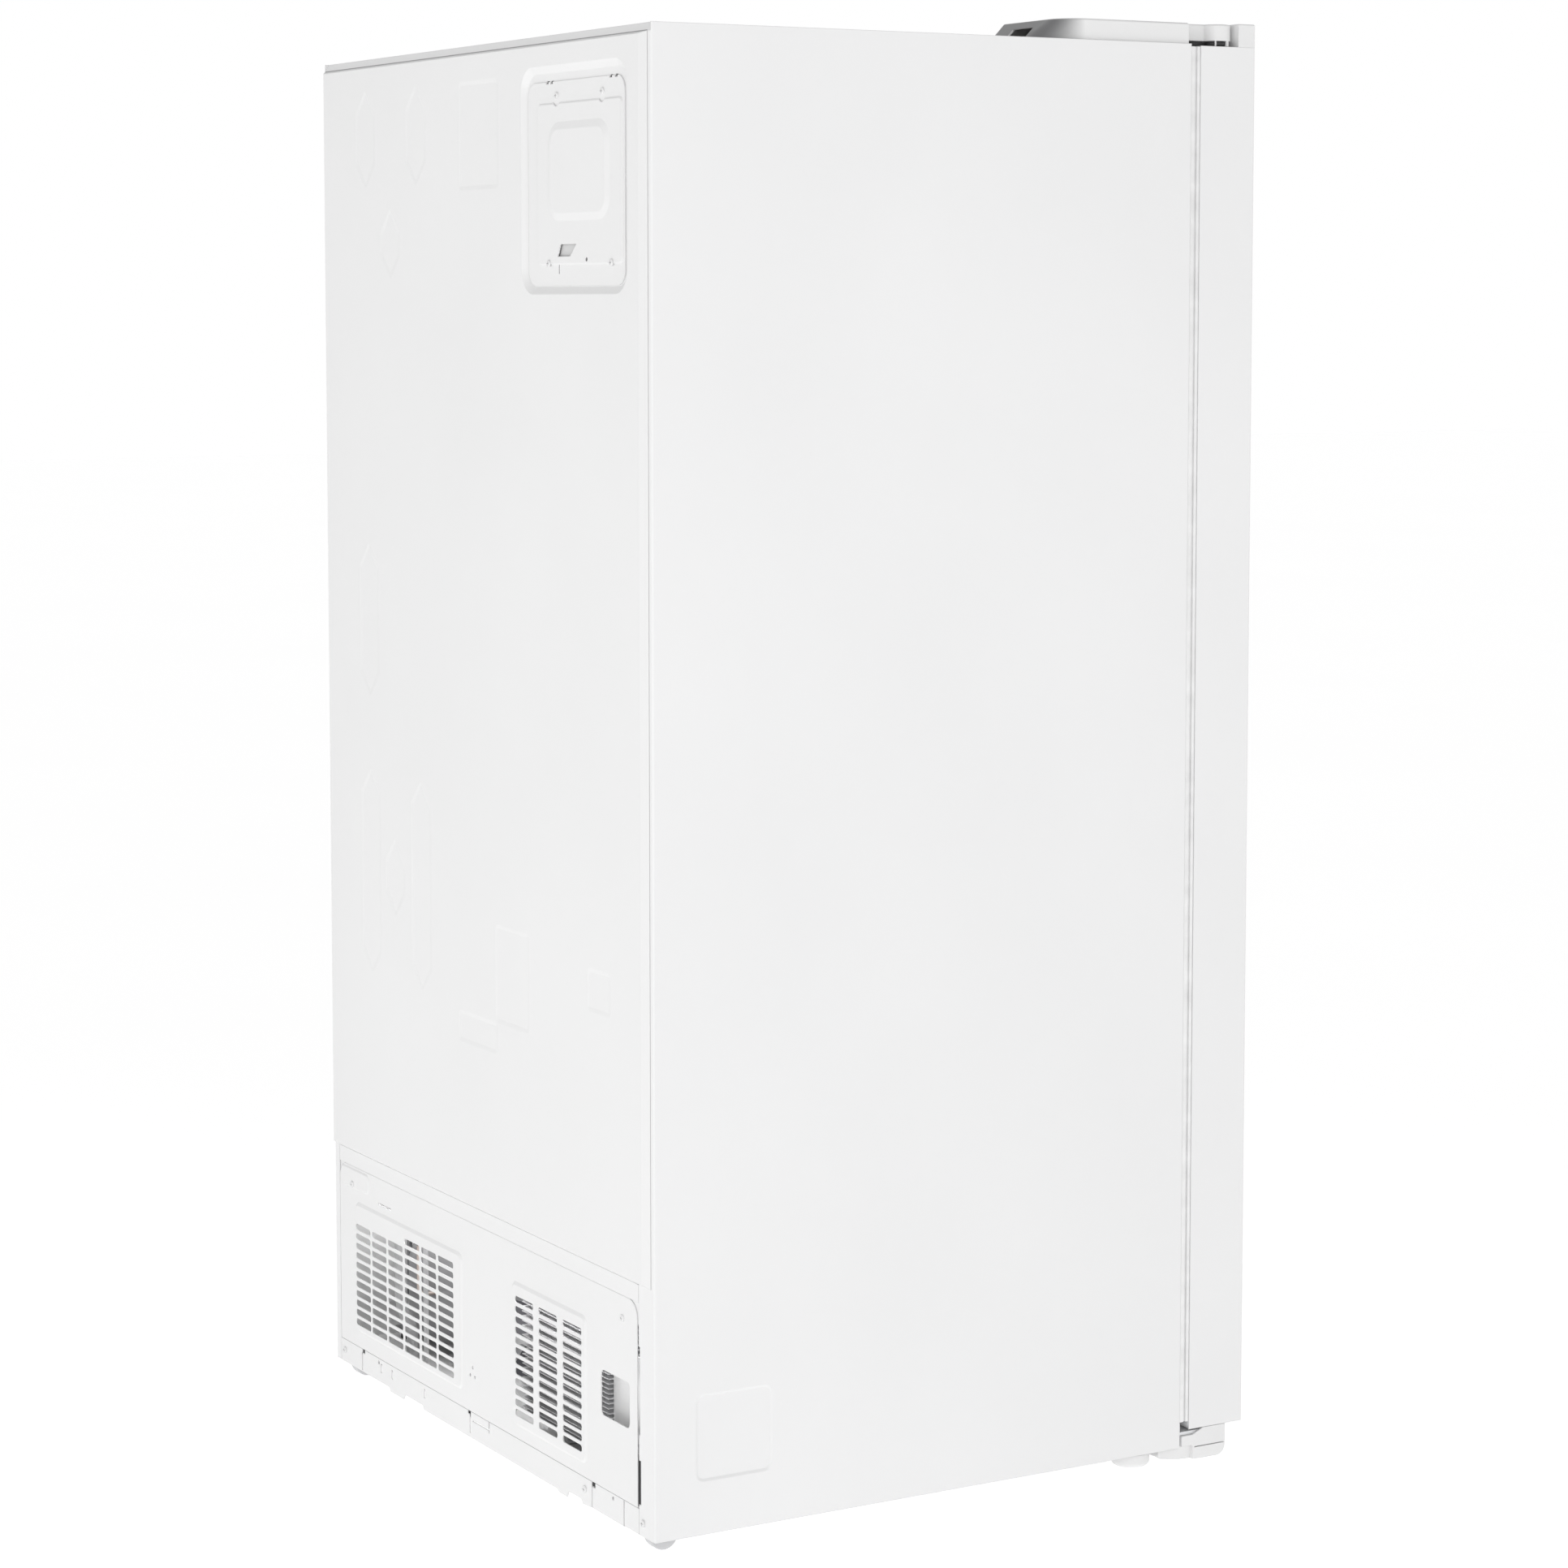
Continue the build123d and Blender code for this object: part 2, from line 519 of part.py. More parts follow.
def refrigerant_lines():
    """Discharge and suction lines, and the filter drier."""
    start = 206.2
    x, y = COMPRESSOR[0] + 45, COMPRESSOR[1] + 78
    y_end, z = DISCHARGE
    discharge = [(x, y, start), (x, y, z), (120, y, z), (120, y_end, z), (-60, y_end, z)]
    x, y, z = COMPRESSOR[0] + 64, COMPRESSOR[1] + 62, 246
    side, up = x + 36, 150
    suction = [(x, y, start), (x, y, z), (side, y, z), (side, up, z), (side, up, 296)]
    drier = rod("x", 10, (-90, -10), *DRIER) + rod("x", 2.5, (-110, 60), *DRIER)
    return [tube_path(discharge, 9, 3), tube_path(suction, 9, 4), drier]


def water_valve():
    """Solenoid water valve on its light bracket, behind the window of the cover."""
    bracket = block((-408, -312), (398, 400), (112, 215)) + block((-408, -406), (360, 400), (120, 215))
    body = block((-402, -372), (362, 398.5), (140, 168)) + rod("z", 13, (167, 200), -387, 380)
    body += rod("z", 5, (118, 141), -387, 376)
    return bracket + body


# ---------------------------------------------------------------- cooling and fittings inside
def evaporator():
    """Finned evaporator behind the freezer's rear cover."""
    x, y, z = (-380.0, -112.0), (302.0, 350.0), (660.0, 960.0)
    pieces = [block((level, level + 0.8), y, z) for level in range(-378, -112, 14)]
    for row in range(8):
        for depth in (12, 36):
            pieces.append(rod("x", 4, x, y[0] + depth, z[0] + 20 + row * 37))
    return join(pieces)


def evaporator_cover():
    """Freezer's rear cover with its air slots; it carries the evaporator fan's motor."""
    cover = block((-400.5, -91.5), (284, 287), (STEP_Z + 0.5, 1240))
    for row in range(4):
        cover -= block((-330, -160), (280, 290), (1150 + row * 18, 1158 + row * 18))
        cover -= block((-330, -160), (280, 290), (380 + row * 18, 388 + row * 18))
    motor = rod("y", 20, (286, 306), -246, 1060) + rod("y", 2.5, (300, 330), -246, 1060)
    return cover + motor


def evaporator_fan():
    """Small axial fan above the evaporator."""
    wheel = fan(0, 52, 15, 16, 2.5 + RUNNING, 5, 28)
    return Pos(-246, 311, 1060) * Rot(0, 0, 90) * wheel


def air_duct():
    """Air duct on the rear wall of the fresh-food compartment, with its outlets."""
    duct = block((110, 260), (333, INNER_BACK - 0.3), (660, 1660))
    duct = chamfer(duct.edges().filter_by(Axis.Z).group_by(Axis.Y)[0], 12)
    duct -= block((118, 252), (341, INNER_BACK), (668, 1652))
    for level in (720, 960, 1210, 1460, 1600):
        for x in (150, 220):
            duct -= block((x - 18, x + 18), (330, 345), (level, level + 9))
    return duct


def ice_maker():
    """Ice maker under the freezer's roof: mould, control head and fill cup."""
    mould = block((-395, -290), (0, 240), (1600, 1660))
    mould -= block((-388, -297), (6, 234), (1612, 1661))
    head = block((-395, -290), (-46, 0), (1580, 1672))
    cup = open_box((-370, -320), (196, 232), (1640, 1676), 2)
    fingers = [block((-388, -297), (y, y + 2), (1612, 1640)) for y in range(34, 230, 34)]
    return join([mould, head, cup] + fingers)


def ice_bucket():
    """Ice storage bucket under the ice maker."""
    bucket = open_box((-398, -150), (-190, 270), (1398, 1560), 2.5)
    return bucket - block((-300, -240), (-195, -180), (1500, 1545))


def wire_shelf(z, depth):
    """Wire shelf with a front and rear bar, side bars and cross wires, all round rod."""
    x, y = (-399.0, -93.0), (SHELF_FRONT, depth)
    pieces = [rod("x", 3, x, end, z) for end in y]
    pieces += [rod("y", 3, y, side, z) for side in (x[0] + 3, x[1] - 3)]
    pieces += [rod("y", 1.6, y, x[0] + 3 + 25 * i, z) for i in range(1, 12)]
    pieces += [rod("x", 2.4, x, y[0] + span(y) / 3 * i, z - 1.5) for i in (1, 2)]
    return join(pieces)


def glass_shelves():
    """Tempered glass plates of the fresh-food shelves."""
    return [block((-27, 397), (SHELF_FRONT + 8, 310), (z, z + 4)) for z in FRIDGE_SHELVES]


def shelf_frames():
    """Moulded frames around the glass, with a taller front trim."""
    frames = []
    for z in FRIDGE_SHELVES:
        frame = block((-34, 404), (SHELF_FRONT, 318), (z - 6, z + 8))
        frame += block((-34, 404), (SHELF_FRONT, SHELF_FRONT + 10), (z - 14, z + 10))
        frame -= block((-27.2, 397.2), (SHELF_FRONT + 7.8, 310.2), (z - 0.1, z + 4.1))
        frame -= block((-22, 392), (SHELF_FRONT + 13, 305), (z - 20, z + 12))
        frames.append(frame)
    return frames


def lamps():
    """Lamp lenses on the roofs of both compartments."""
    lenses = []
    for x in ((-216, -110), (130, 240)):
        lens = block(x, (-150, -60), (INNER_Z[1] - 12, INNER_Z[1] - 0.2))
        lenses.append(fillet(lens.edges().group_by(Axis.Z)[0], 5))
    return lenses


def drawer(x, y, z, wall=DRAWER_WALL):
    """Open-topped drawer with a taller front panel and a finger lip."""
    box = open_box(x, (y[0] + 6, y[1]), z, wall)
    front = block(grown(x, 1), (y[0], y[0] + 7), (z[0], z[1] + 12))
    front -= block(grown(x, -40), (y[0] - 1, y[0] + 3), (z[1] - 20, z[1] + 2))
    return box + front


# ---------------------------------------------------------------- doors
def door_outline(x, inset, back):
    """Plan outline of a door: straight sides and back, and a gently bowed front."""
    left, right = x[0] + inset, x[1] - inset
    edge, bow = DOOR_EDGE + inset, DOOR_EDGE - DOOR_BOW + inset
    front = ThreePointArc((left, edge), (middle(x), bow), (right, edge))
    rest = Polyline((right, edge), (right, back), (left, back), (left, edge))
    face = make_face([front, rest])
    if inset == 0:
        corners = face.vertices().filter_by(lambda v: abs(v.Y - edge) < 0.01)
        face = fillet(corners, 4)
    return face


def door_slab(x, inset, back, z):
    return extrude(Pos(0, 0, z[0]) * door_outline(x, inset, back), amount=z[1] - z[0])


def handle_pocket(x_open, extra, y_back):
    """Space of a pocket handle beside the meeting edge of the doors."""
    return block(grown(x_open, extra), (DOOR_EDGE - DOOR_BOW - 5, y_back), grown(HANDLE_Z, extra))


def door_skin(x, pocket):
    """Painted steel front and sides of a door."""
    inner = door_slab(x, SHEET, DOOR_BACK + 5, (DOOR_BOTTOM - 1, DOOR_TOP + 1))
    skin = door_slab(x, 0, DOOR_BACK, (DOOR_BOTTOM, DOOR_TOP)) - inner
    return skin - handle_pocket(pocket, 0.1, HANDLE_FLOOR)


def door_cap(x, z, pivot_x, bore_z, lip):
    """Moulded end cap inside the skin, with the pin bore; the top one carries a raised lip."""
    cap = door_slab(x, SHEET + 0.1, DOOR_BACK - PLASTIC - 0.1, z)
    if lip:
        rim = door_slab(x, 0, DOOR_EDGE + LIP_DEPTH, (DOOR_TOP, LIP_TOP))
        tops = rim.edges().group_by(Axis.Z)[-1]
        rim = fillet(tops, 2)
        cap += rim + door_slab(x, SHEET + 0.1, DOOR_EDGE + LIP_DEPTH, (DOOR_TOP - 1, DOOR_TOP + 1))
    return cap - rod("z", PIN_R + RUNNING, bore_z, pivot_x, PIVOT_Y)


def door_foam(x, pocket):
    """Insulation of a door, between skin and liner."""
    foam = door_slab(x, SHEET + 0.1, DOOR_BACK - PLASTIC - 0.1, (DOOR_BOTTOM + 26, DOOR_TOP - 30))
    return foam - handle_pocket(pocket, PLASTIC + CLEAR, HANDLE_FLOOR + PLASTIC + CLEAR)


def door_liner(x, ring_x, hinge_width, hinge_side):
    """Door's inner liner with a hollow raised rim that holds the bins."""
    z = (128.0, 1660.0)
    plate = block(grown(x, -SHEET - 0.2), (DOOR_BACK - PLASTIC, DOOR_BACK), (DOOR_BOTTOM + 4, DOOR_TOP - 4))

    low, high = grown(ring_x, -12)
    if hinge_side < 0:
        low = ring_x[0] + hinge_width
    else:
        high = ring_x[1] - hinge_width

    def rim(shrink, back):
        outer = block(grown(ring_x, -shrink), (DOOR_BACK - 1, back), grown(z, -shrink))
        well = (DOOR_BACK - 2, back + 1)
        return outer - block(grown((low, high), shrink), well, grown(z, shrink - 12))

    return plate + rim(0, DIKE_BACK) - rim(PLASTIC, DIKE_BACK - PLASTIC)


def door_gasket(x, hinge_side):
    """Magnetic door gasket: a hollow ring on a foot, with a skirt that reaches out on the hinge side."""
    z = (70.0, 1716.0)
    ring = ring_y(x, z, 16, (DOOR_BACK + 0.1, CASE_FRONT - CLEAR))
    ring -= ring_y(grown(x, -3), grown(z, -3), 10, (DOOR_BACK + 3, CASE_FRONT - CLEAR - 3))
    reach, lip = 16, 1.6
    wide = (x[0] - reach, x[1]) if hinge_side < 0 else (x[0], x[1] + reach)
    tall = grown(z, 12)
    skirt = ring_y(wide, tall, lip, (DOOR_BACK + 0.1, CASE_FRONT - 3))
    foot = block(wide, (DOOR_BACK + 0.1, DOOR_BACK + 2), tall)
    foot -= block(grown(x, -8), (DOOR_BACK, DOOR_BACK + 3), grown(z, -8))
    return ring + skirt + foot


def handle_insert(x, pocket):
    """Moulded cup of a pocket handle, behind the opening in the skin of the door over x."""
    z = grown(HANDLE_Z, PLASTIC)
    behind_skin = door_slab(x, SHEET + 0.1, HANDLE_FLOOR + PLASTIC, z)
    cup = behind_skin & block(grown(pocket, PLASTIC), (DOOR_EDGE - DOOR_BOW, HANDLE_FLOOR + PLASTIC), z)
    return cup - handle_pocket(pocket, 0, HANDLE_FLOOR)


def door_bins(x, levels):
    """Storage bins between the rims of a door's liner."""
    y = (DOOR_BACK + 1, BIN_BACK)
    bins = []
    for z, height in levels:
        tray = open_box(x, y, (z, z + height), 2.5)
        bins.append(tray - block(grown(x, -2.5), (y[0] - 1, y[0] + 1), (z + 40, z + height + 1)))
    return bins


# ---------------------------------------------------------------- hinges, feet, rollers
def hinge_outline(inset, rear, inner):
    """Plan outline of the left top hinge: wide over the case, a waist, and a round end over the pivot."""
    px, py = -PIVOT_X, PIVOT_Y
    left, right = px - 16 + inset, inner - inset
    front = CASE_FRONT + 3
    base = Polyline((left, front), (left, rear - inset), (right, rear - inset), (right, front), close=True)
    outer, inner_near, inner_far = px - 4 + inset, px + 18.5 - inset, px + 34 - inset
    neck = Polyline((outer, front + 1), (outer, py), (inner_near, py), (inner_far, front + 1), close=True)
    end_radius = 19.0 - inset       # the raised lip of the open door's cap passes 20 mm from the pivot
    return make_face(base) + make_face(neck) + Pos(px, py) * Circle(end_radius)


def top_hinge():
    """Left top hinge plate with its pin and its two bolts' heads."""
    plate = extrude(Pos(0, 0, CASE_TOP) * hinge_outline(3.5, -170.0, -330.0), amount=3.5)
    plate += rod("z", PIN_R, (DOOR_TOP - 24, CASE_TOP + 3), -PIVOT_X, PIVOT_Y)
    for x, y in ((-425, -210), (-360, -210), (-360, -290)):
        plate += Pos(x, y, CASE_TOP + 5.5) * extrude(RegularPolygon(7, 6), amount=5, both=True)
    return plate & block((-HALF, 0), (-500, 0), (DOOR_TOP - 24, CASE_TOP + 11))


def hinge_cover():
    """Left top hinge cover: a thin cap with a rear cable window and a tongue over the door."""
    def plan(inset, rear, radius, z):
        left, right = -452 + inset, -314 - inset
        front, rear = CASE_FRONT + 1 + inset, rear - inset
        corners = [(left, front), (left, rear), (right, rear), (right, front)]
        radii = [1, radius - inset, 9 - inset, 9 - inset]
        return Pos(0, 0, z) * make_face(FilletPolyline(*corners, radius=radii, close=True))

    def shape(inset, low, high):
        return loft([plan(inset, -112, 62, low), plan(inset, -136, 34, high)])
    outer = shape(0, CASE_TOP + 0.1, CASE_TOP + 25)
    outer = fillet(outer.edges().group_by(Axis.Z)[-1], 2.5)
    tongue = extrude(Pos(0, 0, CASE_TOP + 5) * hinge_outline(0, -230.0, -390.0), amount=20)
    tops = tongue.edges().group_by(Axis.Z)[-1].filter_by(lambda edge: edge.center().Y < CASE_FRONT - 10)
    tongue = fillet(tops, 2.5)
    hollow = shape(2, CASE_TOP - 1, CASE_TOP + 23)
    throat = extrude(Pos(0, 0, CASE_TOP - 1) * hinge_outline(2.2, -232.0, -392.0), amount=24)
    cover = outer + tongue - hollow - throat
    window = block((-396, -352), (-150, -105), (CASE_TOP - 1, CASE_TOP + 16))
    return cover - window


def bottom_hinge():
    """Left bottom hinge: bracket on the case front, arm under the door, and its pin."""
    arm = block((-452, -412), (-385, CASE_FRONT - 0.2), (33.5, 37.5))
    arm += block((-452, -412), (CASE_FRONT - 3.2, CASE_FRONT - 0.2), (21, 49))
    arm -= block((-453, -446), (-400, -378), (30, 40))
    return arm + rod("z", PIN_R, (36, DOOR_BOTTOM + 20), -PIVOT_X, PIVOT_Y)


def bottom_hinge_cover():
    """Left cover of the lower hinge: a moulded shoe under the case and the door."""
    corners = [(-289, 18.5), (-289, 8), (-320, 3), (-352, 1.5), (-387.5, 1.5), (-387.5, 33),
               (-321.2, 33), (-321.2, 18.5)]
    outline = FilletPolyline(*corners, radius=[1, 5, 20, 20, 13, 5, 1, 1], close=True)
    side = Plane(origin=(-455.5, 0, 0), x_dir=(0, 1, 0), z_dir=(1, 0, 0))
    shoe = extrude(side * make_face(outline), amount=50)
    wall = Polyline((-387.5, 22), (-387.5, 40.3), (-354, 40.3), (-336, 32), (-336, 22), close=True)
    shoe += extrude(side * make_face(wall), amount=3)
    shoe -= block((-457, -450), (-338, -280), (0, 20))
    return shoe - block((-457, -404), (-389, -341), (16.6, 17.8))


def levelling_leg():
    """Left levelling leg: a round foot with a soft lower edge, on a threaded stem."""
    x, y = -FOOT[0], FOOT[1]
    foot = Pos(x, y, 8.5) * Cylinder(24, 17)
    foot = fillet(foot.edges().group_by(Axis.Z)[0], 7)
    return foot + rod("z", 5.0, (15, 48), x, y)


def roller(side):
    """Rear transport roller."""
    x, y, radius = REAR_ROLLER
    wheel = rod("x", radius, (side * x - 9.5, side * x + 9.5), y, radius)
    wheel = fillet(wheel.edges().filter_by(GeomType.CIRCLE), 2)
    return wheel - rod("x", 3.0 + RUNNING, (side * x - 12, side * x + 12), y, radius)


def kick_grille():
    """Front base grille between the lower hinges."""
    grille = block((-400, 400), (-330, CASE_FRONT - 0.5), (10, 39))
    grille -= block((-398, 398), (-328, CASE_FRONT + 1), (12, 37))
    for i in range(24):
        x = -372 + i * 32
        grille -= block((x - 11, x + 11), (-335, -325), (19, 23))
        grille -= block((x - 11, x + 11), (-335, -325), (27, 31))
    return grille


# ---------------------------------------------------------------- writing the sub-parts
FREEZER_DOOR = (-HALF, SPLIT_X - SPLIT_GAP / 2)
FRIDGE_DOOR = (SPLIT_X + SPLIT_GAP / 2, HALF)
FREEZER_POCKET = (-112.0, -78.0)
FRIDGE_POCKET = (-50.0, -16.0)
TOP_BORE = (DOOR_TOP - 26, LIP_TOP + 5)
BOTTOM_BORE = (DOOR_BOTTOM - 5, DOOR_BOTTOM + 22)
TOP_CAP = (DOOR_TOP - 30, DOOR_TOP)
BOTTOM_CAP = (DOOR_BOTTOM, DOOR_BOTTOM + 26)
FREEZER_BINS = ((160, 120), (470, 110), (780, 110), (1090, 110), (1380, 110))      # level, height
FRIDGE_BINS = ((170, 140), (560, 120), (930, 120), (1290, 120))

save("side_panel_left", side_panel(FLANGE[0]))
save("side_panel_right", mirrored(side_panel(-FLANGE[1])))
save("top_panel", top_panel())
save("rear_panel", rear_panel())
save("front_frame", front_frame())
save("cabinet_foam", cabinet_foam())
save("freezer_liner", liner(FREEZER_X))
save("fridge_liner", liner(FRIDGE_X))
save("compartment_deck", compartment_deck())
save("base_frame", base_frame())
save("machine_cover", machine_cover())
save("rear_screws", *rear_screws())
save("control_box", control_box())
save("control_board", control_board())
save("control_cover", control_cover())

save("compressor", compressor())
save("compressor_grommets", *compressor_grommets())
save("condenser", condenser())
save("fan_shroud", fan_shroud())
save("condenser_fan", Pos(0, FAN_Y, FAN_Z) * fan(22, 78, 18, 20, 3 + RUNNING, 5, 32))
save("drain_pan", drain_pan())
save("refrigerant_lines", *refrigerant_lines())
save("water_valve", water_valve())

save("evaporator", evaporator())
save("evaporator_cover", evaporator_cover())
save("evaporator_fan", evaporator_fan())
save("air_duct", air_duct())
save("ice_maker", ice_maker())
save("ice_bucket", ice_bucket())
save("freezer_shelves", *[wire_shelf(z, 278.0) for z in FREEZER_SHELVES])
save("fridge_shelves", *glass_shelves())
save("fridge_shelf_frames", *shelf_frames())
save("interior_lamps", *lamps())
save("freezer_drawer_upper", drawer(FREEZER_DRAWER_X, (DRAWER_FRONT, 276), (356, 590)))
save("freezer_drawer_lower", drawer(FREEZER_DRAWER_X, (DRAWER_FRONT, 82), (98, 328)))
save("crisper_upper", drawer(CRISPER_X, (DRAWER_FRONT, 345), (356, 585)))
save("crisper_lower", drawer(CRISPER_X, (DRAWER_FRONT, 82), (98, 328)))

save("freezer_door_skin", door_skin(FREEZER_DOOR, FREEZER_POCKET))
save("freezer_door_caps", door_cap(FREEZER_DOOR, TOP_CAP, -PIVOT_X, TOP_BORE, True),
     door_cap(FREEZER_DOOR, BOTTOM_CAP, -PIVOT_X, BOTTOM_BORE, False))
save("freezer_door_foam", door_foam(FREEZER_DOOR, FREEZER_POCKET))
save("freezer_door_liner", door_liner(FREEZER_DOOR, (-384.0, -114.0), 28.0, -1))
save("freezer_door_gasket", door_gasket((-432.0, -70.0), -1))
save("freezer_door_handle", handle_insert(FREEZER_DOOR, FREEZER_POCKET))
save("freezer_door_bins", *door_bins((-355, -127), FREEZER_BINS))
save("fridge_door_skin", door_skin(FRIDGE_DOOR, FRIDGE_POCKET))
save("fridge_door_caps", door_cap(FRIDGE_DOOR, TOP_CAP, PIVOT_X, TOP_BORE, True),
     door_cap(FRIDGE_DOOR, BOTTOM_CAP, PIVOT_X, BOTTOM_BORE, False))
save("fridge_door_foam", door_foam(FRIDGE_DOOR, FRIDGE_POCKET))
save("fridge_door_liner", door_liner(FRIDGE_DOOR, (-12.0, 384.0), 28.0, 1))
save("fridge_door_gasket", door_gasket((-58.0, 432.0), 1))
save("fridge_door_handle", handle_insert(FRIDGE_DOOR, FRIDGE_POCKET))
save("fridge_door_bins", *door_bins((1, 355), FRIDGE_BINS))

left_hinge = top_hinge()
left_cover = hinge_cover()
left_low_hinge = bottom_hinge()
left_shoe = bottom_hinge_cover()
left_leg = levelling_leg()
save("top_hinges", left_hinge, mirrored(left_hinge))
save("top_hinge_covers", left_cover, mirrored(left_cover))
save("bottom_hinges", left_low_hinge, mirrored(left_low_hinge))
save("bottom_hinge_covers", left_shoe, mirrored(left_shoe))
save("levelling_leg_left", left_leg)
save("levelling_leg_right", mirrored(left_leg))
save("rear_roller_left", roller(-1))
save("rear_roller_right", roller(1))
save("kick_grille", kick_grille())
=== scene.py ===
import math

import bmesh
import bpy
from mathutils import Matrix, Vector


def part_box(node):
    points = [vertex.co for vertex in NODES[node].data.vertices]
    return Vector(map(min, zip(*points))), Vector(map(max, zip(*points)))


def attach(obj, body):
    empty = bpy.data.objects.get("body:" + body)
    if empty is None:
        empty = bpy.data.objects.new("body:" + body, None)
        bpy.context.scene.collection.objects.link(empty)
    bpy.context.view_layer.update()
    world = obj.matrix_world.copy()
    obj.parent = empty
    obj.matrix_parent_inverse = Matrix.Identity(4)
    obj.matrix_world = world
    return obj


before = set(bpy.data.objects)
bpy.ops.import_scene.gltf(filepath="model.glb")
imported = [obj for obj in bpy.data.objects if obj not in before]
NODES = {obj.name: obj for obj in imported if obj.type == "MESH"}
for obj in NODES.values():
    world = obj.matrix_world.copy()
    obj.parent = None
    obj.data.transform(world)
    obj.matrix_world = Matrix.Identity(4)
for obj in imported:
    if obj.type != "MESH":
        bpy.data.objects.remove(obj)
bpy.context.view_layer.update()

MM = 0.001
CAMERA_PLACE = Vector((-4.2622, 2.4511, 1.4380))   # three-quarter view from behind and from the left
CAMERA_TURN = 1.04671           # radians from straight ahead of the case towards +X
CAMERA_DIP = 0.08379            # radians below level
CAMERA_LENS = 88.2              # mm on a 36 mm sensor
CAMERA_SHIFT = (0.0, -0.1)

# Colours, linear
CASE_WHITE = (0.82, 0.82, 0.822)
SHEET_WHITE = (0.82, 0.82, 0.82)
MOULDING_WHITE = (0.8, 0.8, 0.8)
# Painted shade for the rear end of the top hinge covers
PAINTED_SHADE_GREY = (0.17, 0.17, 0.175)
STUDIO_WHITE = (0.93, 0.93, 0.93)

# Places that the CAD's boxes don't give, in millimetres
RAIL_SLOTS_X = (367, 40, -303)
RAIL_SLOTS_Z = (43.5, 49.5)
CABLE_WINDOW_X = (-279, -204)
CABLE_WINDOW_Z = (1488, 1513)
HINGE_PLUG_X = (359, 389)       # on either side of the middle
HINGE_PLUG_Y = (-176, -148)
HINGE_LEADS_X = (366, 374, 382)
HINGE_POST_X = 449
HINGE_POSTS = ((-358, 1.1), (-375, 2.2))    # each post's Y and radius
DRAIN_TUBE_X = 296
THIN_TUBE_X = 218
CONDENSER_COLUMNS = 3
CONDENSER_COLUMN_PITCH = 60


# ---------------------------------------------------------------- material helpers
class Shader:
    """A principled material with short-hands for its procedural inputs."""

    def __init__(self, name, color, roughness, **sockets):
        self.material = bpy.data.materials.new(name)
        self.material.use_nodes = True
        self.nodes = self.material.node_tree.nodes
        self.links = self.material.node_tree.links
        self.bsdf = self.nodes["Principled BSDF"]
        self.bsdf.inputs["Base Color"].default_value = (*color, 1)
        self.bsdf.inputs["Roughness"].default_value = roughness
        for socket, value in sockets.items():
            self.bsdf.inputs[socket.replace("_", " ")].default_value = value
        coordinates = self.nodes.new("ShaderNodeTexCoord")
        self.place = coordinates.outputs["Object"]
        self.facing = coordinates.outputs["Normal"]
        self.color = color
        self.height = None

    def axis(self, vector, letter):
        """One component of a vector."""
        split = self.nodes.new("ShaderNodeSeparateXYZ")
        self.links.new(vector, split.inputs["Vector"])
        return split.outputs[letter]

    def noise(self, scale, detail=3.0, stretch=(1, 1, 1)):
        mapping = self.nodes.new("ShaderNodeMapping")
        mapping.inputs["Scale"].default_value = stretch
        self.links.new(self.place, mapping.inputs["Vector"])
        texture = self.nodes.new("ShaderNodeTexNoise")
        texture.inputs["Scale"].default_value = scale
        texture.inputs["Detail"].default_value = detail
        self.links.new(mapping.outputs["Vector"], texture.inputs["Vector"])
        return texture.outputs["Fac"]

    def ramp(self, value, low, high, start=0.3, end=0.7):
        """Colour from low to high as value goes from start to end."""
        ramp = self.nodes.new("ShaderNodeValToRGB")
        ramp.color_ramp.elements[0].position = start
        ramp.color_ramp.elements[0].color = (*low, 1)
        ramp.color_ramp.elements[1].position = end
        ramp.color_ramp.elements[1].color = (*high, 1)
        self.links.new(value, ramp.inputs["Fac"])
        return ramp.outputs["Color"]

    def span(self, value, low, high):
        """Number from low to high as value goes from 0 to 1."""
        remap = self.nodes.new("ShaderNodeMapRange")
        remap.inputs["To Min"].default_value = low
        remap.inputs["To Max"].default_value = high
        self.links.new(value, remap.inputs["Value"])
        return remap.outputs["Result"]

    def mottle(self, scale, amount):
        """Slight lightness variation of the base colour."""
        low = tuple(max(0.0, c * (1 - amount)) for c in self.color)
        high = tuple(min(1.0, c * (1 + amount)) for c in self.color)
        self.links.new(self.ramp(self.noise(scale), low, high), self.bsdf.inputs["Base Color"])
        return self

    def rough(self, scale, low, high):
        self.links.new(self.span(self.noise(scale), low, high), self.bsdf.inputs["Roughness"])
        return self

    def soften(self, radius):
        """Round sharp edges in the shading."""
        node = self.nodes.new("ShaderNodeBevel")
        node.samples = 4
        node.inputs["Radius"].default_value = radius
        self.height = node.outputs["Normal"]
        return self

    def bump(self, scale, depth, strength, stretch=(1, 1, 1)):
        """Add a layer of bump of the given depth in metres."""
        node = self.nodes.new("ShaderNodeBump")
        node.inputs["Distance"].default_value = depth
        node.inputs["Strength"].default_value = strength
        self.links.new(self.noise(scale, 2.0, stretch), node.inputs["Height"])
        if self.height:
            self.links.new(self.height, node.inputs["Normal"])
        self.height = node.outputs["Normal"]
        self.links.new(self.height, self.bsdf.inputs["Normal"])
        return self


def paint(name, color, roughness, peel=0.00004):
    """Baked white paint with orange peel, a faint unevenness and edges softened by the sheet's bends."""
    shader = Shader(name, color, roughness, Coat_Weight=0.15, Coat_Roughness=0.2).soften(0.0012)
    shader.mottle(3.0, 0.012).rough(14.0, roughness - 0.05, roughness + 0.06)
    return shader.bump(420.0, peel, 0.5).bump(6.0, 0.0006, 0.12).material


